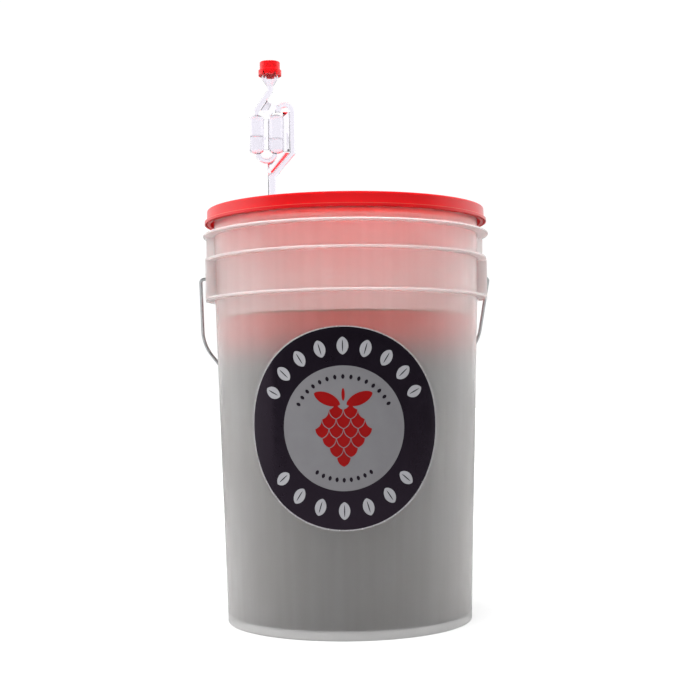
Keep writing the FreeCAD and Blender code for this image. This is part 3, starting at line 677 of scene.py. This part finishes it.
LABEL_SKIN = 0.0003           # the label's outer face stands this far off the wall
LAYER = 0.00005               # each printed layer stands this much above the one under it
FIRST_LAYER = 0.0001
FILM_SHARE = 0.8              # a layer's own thickness, as a share of the step between layers
PRINT_SHARP_ANGLE = 30
SLOPE_REACH = 0.1             # the wall's taper is measured this far above and below the label's middle
RING_OUTSIDE = 0.99           # shares of the label's own radius
RING_INSIDE = 0.612
MARK_CIRCLE = 0.805
SMALL_MARK_CIRCLE = 0.505


def label_place():
    """The label's middle height and radius, the wall's radius there, and its heading in radians."""
    low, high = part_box("front_label")
    middle = (low.z + high.z) / 2
    wall = outside_radius(middle)
    skin = wall + LABEL_SKIN
    left = math.asin(low.x / skin)
    right = math.asin(high.x / skin)
    return middle, (high.z - low.z) / 2, wall, (left + right) / 2


label_middle, label_radius, label_wall, label_heading = label_place()
wall_above = outside_radius(label_middle + SLOPE_REACH)
wall_below = outside_radius(label_middle - SLOPE_REACH)
wall_slope = (wall_above - wall_below) / (2 * SLOPE_REACH)


def on_wall(across, up, lift):
    """A point on the tapered wall, from distances across and up from the label's middle."""
    angle = label_heading + across / label_wall
    radius = label_wall + wall_slope * up + lift
    return Vector((radius * math.sin(angle), -radius * math.cos(angle), label_middle + up))


def printed(name, shapes, layer, material):
    """Thin printed shapes on the wall. Each shape is (inner loop, outer loop, rings) in label space."""
    verts, faces = [], []
    lift = FIRST_LAYER + LAYER * layer
    for inner, outer, rings in shapes:
        start = len(verts)
        for ring in range(rings + 1):
            share = ring / rings
            for near, far in zip(inner, outer):
                across = near[0] + (far[0] - near[0]) * share
                up = near[1] + (far[1] - near[1]) * share
                verts.append(on_wall(across, up, lift))
        faces += ring_faces(start, rings, len(outer))
    made = piece(name, verts, faces, material, "pail")
    work = bmesh.new()
    work.from_mesh(made.data)
    bmesh.ops.remove_doubles(work, verts=work.verts, dist=1e-7)
    bmesh.ops.recalc_face_normals(work, faces=work.faces)
    work.to_mesh(made.data)
    work.free()
    thick = made.modifiers.new("film", "SOLIDIFY")
    thick.thickness = LAYER * FILM_SHARE
    thick.offset = -1
    bake_modifiers(made)
    made.data.set_sharp_from_angle(angle=math.radians(PRINT_SHARP_ANGLE))
    return made


# Shapes on the label are (inner loop, outer loop, rings of faces between them).
MIDDLE = (0, 0)
ROUND_STEPS = 180
LEAF_STEPS = 28
LEAF_RINGS = 3


def circle(radius):
    """Points round the label's middle, clockwise from the top."""
    loop = []
    for step in range(ROUND_STEPS):
        turn = 2 * math.pi * step / ROUND_STEPS
        loop.append((radius * math.sin(turn), radius * math.cos(turn)))
    return loop


def disc(radius, rings):
    """A filled circle round the label's middle."""
    return [MIDDLE] * ROUND_STEPS, circle(radius), rings


def leaf(centre, length, width, turn, blunt=0.75):
    """An oval with drawn-in ends, its long axis turned clockwise from upright; blunt 1 is an ellipse."""
    loop = []
    sine, cosine = math.sin(math.radians(turn)), math.cos(math.radians(turn))
    for step in range(LEAF_STEPS):
        angle = 2 * math.pi * step / LEAF_STEPS
        along = length / 2 * math.cos(angle)
        across = width / 2 * math.copysign(abs(math.sin(angle)) ** (1 / blunt), math.sin(angle))
        loop.append((
            centre[0] + along * sine + across * cosine,
            centre[1] + along * cosine - across * sine,
        ))
    return [centre] * LEAF_STEPS, loop, LEAF_RINGS


GRAIN_ARCS = ((-64, 64, 9), (128, 232, 7))      # from, to, how many marks; clockwise from the top
SMALL_MARK_ARCS = ((-62, 62, 15), (148, 212, 9))


def arc_marks(circle_share, arcs, length, width):
    """Leaves set side by side on arcs of the label, each pointing outwards."""
    marks = []
    reach = circle_share * label_radius
    for start, end, count in arcs:
        for index in range(count):
            turn = start + (end - start) * index / (count - 1)
            angle = math.radians(turn)
            centre = (reach * math.sin(angle), reach * math.cos(angle))
            marks.append(leaf(centre, length, width, turn))
    return marks


HOP_ROWS = (2, 3, 4, 3, 2, 1)      # scales in each row, from the top
HOP_TOP = 0.0190                   # the first row's height above the label's middle
SCALE_HALF_WIDTH = 0.0074
SCALE_HALF_HEIGHT = 0.0098
SCALE_BULGE = 0.16
SCALE_SHARE = 0.93                 # a scale is drawn this much smaller, to leave a gap round it
SCALE_SIDE_STEPS = 10
SCALE_RINGS = 4


def hop_scale(centre):
    """A hop scale: its lower sides bulge and its upper sides are hollow, so that rows nest."""
    wide, tall = SCALE_HALF_WIDTH, SCALE_HALF_HEIGHT
    corners = ((0, tall), (wide, 0), (0, -tall), (-wide, 0))
    bulges = (-SCALE_BULGE, SCALE_BULGE, SCALE_BULGE, -SCALE_BULGE)
    loop = []
    for index, swell in enumerate(bulges):
        start, end = corners[index], corners[(index + 1) % 4]
        for step in range(SCALE_SIDE_STEPS):
            along = step / SCALE_SIDE_STEPS
            out = swell * 4 * along * (1 - along)
            across = start[0] + (end[0] - start[0]) * along - out * (end[1] - start[1])
            up = start[1] + (end[1] - start[1]) * along + out * (end[0] - start[0])
            loop.append((centre[0] + across * SCALE_SHARE, centre[1] + up * SCALE_SHARE))
    return [centre] * len(loop), loop, SCALE_RINGS


def hop_cone():
    """A plain hop cone: nested rows of scales that narrow to a tip, under two leaves and a stalk."""
    shapes = []
    for row, count in enumerate(HOP_ROWS):
        for column in range(count):
            across = (2 * column - count + 1) * SCALE_HALF_WIDTH
            shapes.append(hop_scale((across, HOP_TOP - row * SCALE_HALF_HEIGHT)))
    for side in (-1, 1):
        shapes.append(leaf((side * 0.0165, 0.0300), 0.0290, 0.0125, side * 66))
    shapes.append(leaf((0, 0.0345), 0.0130, 0.0034, 0, blunt=1.0))
    return shapes


VIOLET_SHEEN = (1.0, 0.72, 1.0)


def make_label():
    """A round printed label: dark ring with pale grains, pale disc with a red hop cone."""
    halo = printed_film("label_halo", (0.42, 0.40, 0.42), (0.50, 0.48, 0.50))
    black = printed_film("label_black", (0.004, 0.003, 0.005), (0.008, 0.006, 0.010), 0.16, VIOLET_SHEEN)
    pale = printed_film("label_pale", (0.155, 0.152, 0.162), (0.185, 0.182, 0.192))
    light = printed_film("label_light", (0.30, 0.30, 0.32), (0.36, 0.36, 0.38))
    red = printed_film("label_red", (0.20, 0.001, 0.001), (0.26, 0.0015, 0.0015))
    film = printed("label_base", [disc(label_radius, 20)], 0, halo)
    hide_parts("front_label")
    ring = (circle(label_radius * RING_INSIDE), circle(label_radius * RING_OUTSIDE), 10)
    printed("label_ring", [ring], 1, black)
    printed("label_disc", [disc(label_radius * RING_INSIDE, 14)], 1, pale)
    printed("label_grains", arc_marks(MARK_CIRCLE, GRAIN_ARCS, 0.0180, 0.0118), 2, light)
    dots = arc_marks(SMALL_MARK_CIRCLE, SMALL_MARK_ARCS, 0.0050, 0.0034)
    printed("label_small_marks", dots, 2, black)
    printed("label_grain_creases", arc_marks(MARK_CIRCLE, GRAIN_ARCS, 0.0125, 0.0011), 3, black)
    printed("label_hop", hop_cone(), 2, red)


# ---- Studio -----------------------------------------------------------------------------------------

FLOOR_REACH = 12.0
FLOOR_DROP = 0.0002
LIGHT_AIM = Vector((0, 0, 0.28))
SIDE_BOX_SIZE = (1.2, 1.4)
TOP_BOX_SIZE = (1.1, 1.1)


def make_floor():
    """One broad pale sheet, a hair below the pail."""
    corners = [(x * FLOOR_REACH, y * FLOOR_REACH, 0) for x, y in ((-1, -1), (1, -1), (1, 1), (-1, 1))]
    mesh = bpy.data.meshes.new("studio_floor")
    mesh.from_pydata(corners, [], [(0, 1, 2, 3)])
    mesh.materials.append(studio_white())
    floor = bpy.data.objects.new("studio_floor", mesh)
    bpy.context.collection.objects.link(floor)
    floor.location.z = cad_low.z - FLOOR_DROP


def softbox(name, place, size, power, mirrored=True):
    """A rectangular studio light aimed at the pail; gloss and clear plastic show it only if mirrored."""
    light = bpy.data.lights.new(name, "AREA")
    light.shape = "RECTANGLE"
    light.size, light.size_y = size
    light.energy = power
    lamp = bpy.data.objects.new(name, light)
    bpy.context.collection.objects.link(lamp)
    lamp.location = place
    lamp.visible_glossy = mirrored
    lamp.visible_transmission = mirrored
    lamp.rotation_mode = "QUATERNION"
    lamp.rotation_quaternion = (LIGHT_AIM - Vector(place)).to_track_quat("-Z", "Y")


def make_lights():
    """A soft light on each side, a little brighter on the left, and a strong one overhead."""
    softbox("left_box", (-1.5, 0.05, 0.6), SIDE_BOX_SIZE, 3.4)
    softbox("right_box", (1.5, 0.05, 0.6), SIDE_BOX_SIZE, 2.4)
    softbox("top_box", (-0.12, -0.2, 1.7), TOP_BOX_SIZE, 105, mirrored=False)


BACKDROP_WHITE = 1.05
BACK_LIGHT = 1.34        # what the far side of the studio sheds
SOFT_FRONT = 0.60        # what the photographer's side sheds
DARK_FRONT = 0.05        # what gloss mirrors from that side


def front_light(tree, path):
    """The photographer's side of the studio: soft for most rays, dark for mirrored ones."""
    front = tree.nodes.new("ShaderNodeMath")
    front.operation = "MULTIPLY_ADD"
    tree.links.new(path.outputs["Is Glossy Ray"], front.inputs[0])
    front.inputs[1].default_value = DARK_FRONT - SOFT_FRONT
    front.inputs[2].default_value = SOFT_FRONT
    return front.outputs["Value"]


def graded_light(tree, path):
    """Strength by direction, rising from the photographer's side to the far side (+Y)."""
    place = tree.nodes.new("ShaderNodeTexCoord")
    parts = tree.nodes.new("ShaderNodeSeparateXYZ")
    tree.links.new(place.outputs["Generated"], parts.inputs["Vector"])
    ranged = tree.nodes.new("ShaderNodeMapRange")
    ranged.interpolation_type = "SMOOTHSTEP"
    tree.links.new(parts.outputs["Y"], ranged.inputs["Value"])
    for name, number in (("From Min", -0.55), ("From Max", 0.5), ("To Max", BACK_LIGHT)):
        ranged.inputs[name].default_value = number
    tree.links.new(front_light(tree, path), ranged.inputs["To Min"])
    return ranged.outputs["Result"]


def white_background(tree):
    """A plain white background shader."""
    background = tree.nodes.new("ShaderNodeBackground")
    background.inputs["Color"].default_value = (1, 1, 1, 1)
    return background


def make_world():
    """White all round for the eye; the object is lit more from behind and the sides than the front."""
    world = bpy.data.worlds.new("studio")
    bpy.context.scene.world = world
    world.use_nodes = True
    tree = world.node_tree
    tree.nodes.clear()
    path = tree.nodes.new("ShaderNodeLightPath")
    graded = white_background(tree)
    tree.links.new(graded_light(tree, path), graded.inputs["Strength"])
    white = white_background(tree)
    white.inputs["Strength"].default_value = BACKDROP_WHITE
    mix = tree.nodes.new("ShaderNodeMixShader")
    tree.links.new(seen_directly(tree, path), mix.inputs["Fac"])
    tree.links.new(graded.outputs["Background"], mix.inputs[1])
    tree.links.new(white.outputs["Background"], mix.inputs[2])
    out = tree.nodes.new("ShaderNodeOutputWorld")
    tree.links.new(mix.outputs["Shader"], out.inputs["Surface"])


CAMERA_PLACE = (-0.13625, -1.41506, 0.260)
CAMERA_YAW = 5.637
CAMERA_PITCH = 1.618
CAMERA_ROLL = -0.713
CAMERA_LENS = 64.64


def make_camera():
    """Stand where the photographer stood: well below the lid, nearly level, a little to the left."""
    data = bpy.data.cameras.new("camera")
    data.sensor_width = 36
    data.lens = CAMERA_LENS
    camera = bpy.data.objects.new("camera", data)
    bpy.context.collection.objects.link(camera)
    yaw, pitch, roll = (math.radians(angle) for angle in (CAMERA_YAW, CAMERA_PITCH, CAMERA_ROLL))
    level = Vector((math.sin(yaw), math.cos(yaw), 0))
    right = Vector((math.cos(yaw), -math.sin(yaw), 0))
    ahead = level * math.cos(pitch) + UP * math.sin(pitch)
    above = UP * math.cos(pitch) - level * math.sin(pitch)
    across = right * math.cos(roll) + above * math.sin(roll)
    over = above * math.cos(roll) - right * math.sin(roll)
    turn = Matrix((across, over, -ahead)).transposed().to_4x4()
    camera.matrix_world = Matrix.Translation(CAMERA_PLACE) @ turn
    bpy.context.scene.camera = camera


# ---- Everything -------------------------------------------------------------------------------------

bpy.context.scene.view_settings.view_transform = "Standard"

places = plastic_places()
lid_red = lid_plastic(places)
clear = clear_plastic()
dress("bucket_body", pail_plastic(places))
dress("bail_wire", galvanised_wire())
dress("bail_grip", grip_plastic())
dress("lid", lid_red)
dress("lid_gasket", soft_rubber("gasket_rubber", (0.30, 0.29, 0.27), (0.38, 0.37, 0.35)))
dress("grommet", soft_rubber("grommet_rubber", (0.055, 0.053, 0.052), (0.10, 0.098, 0.095)))
dress("airlock_cap", red_plastic("cap_red", 500).material)
make_brew()
make_airlock_shell(clear)
make_water()
make_lip_ribs(lid_red)
make_label()
make_floor()
make_lights()
make_world()
make_camera()
